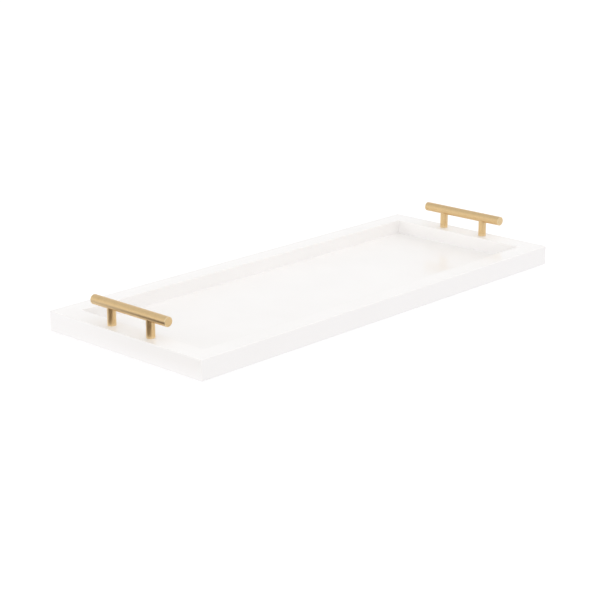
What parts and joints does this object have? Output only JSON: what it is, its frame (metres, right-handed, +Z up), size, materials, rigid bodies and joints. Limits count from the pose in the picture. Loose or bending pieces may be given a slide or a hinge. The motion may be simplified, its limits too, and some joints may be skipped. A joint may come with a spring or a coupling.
{
  "type": "vanity tray",
  "caption": "Low rectangular dresser tray in glossy white lacquer, with a flat rim round a shallow well and a satin gold bar pull on each short end.",
  "frame": {"origin": "on the surface that the tray stands on, under the tray's centre", "axes": "+X along the tray from the left pull to the right pull, +Y from the front rail to the back rail, +Z up"},
  "size_m": [0.61, 0.25, 0.0557],
  "materials": {
    "white_lacquer": "high-gloss white lacquer over fibreboard",
    "brushed_gold": "satin brushed gold, brushed round the bar and posts",
    "zinc_steel": "bright zinc plating",
    "beech": "plain sawn beech",
    "felt": "pressed pale grey wool felt"
  },
  "bodies": {
    "root": {"front_rail": "white_lacquer", "back_rail": "white_lacquer", "left_end_rail": "white_lacquer", "right_end_rail": "white_lacquer", "base_panel": "white_lacquer", "panel_brads": "zinc_steel", "left_grip_bar": "brushed_gold", "right_grip_bar": "brushed_gold", "left_front_spline": "beech", "left_back_spline": "beech", "right_front_spline": "beech", "right_back_spline": "beech", "left_front_post": "brushed_gold", "left_back_post": "brushed_gold", "right_front_post": "brushed_gold", "right_back_post": "brushed_gold", "left_front_stud": "zinc_steel", "left_back_stud": "zinc_steel", "right_front_stud": "zinc_steel", "right_back_stud": "zinc_steel", "left_front_screw": "zinc_steel", "left_back_screw": "zinc_steel", "right_front_screw": "zinc_steel", "right_back_screw": "zinc_steel", "left_front_washer": "zinc_steel", "left_back_washer": "zinc_steel", "right_front_washer": "zinc_steel", "right_back_washer": "zinc_steel", "left_front_pad": "felt", "left_back_pad": "felt", "right_front_pad": "felt", "right_back_pad": "felt"}
  },
  "joints": []
}
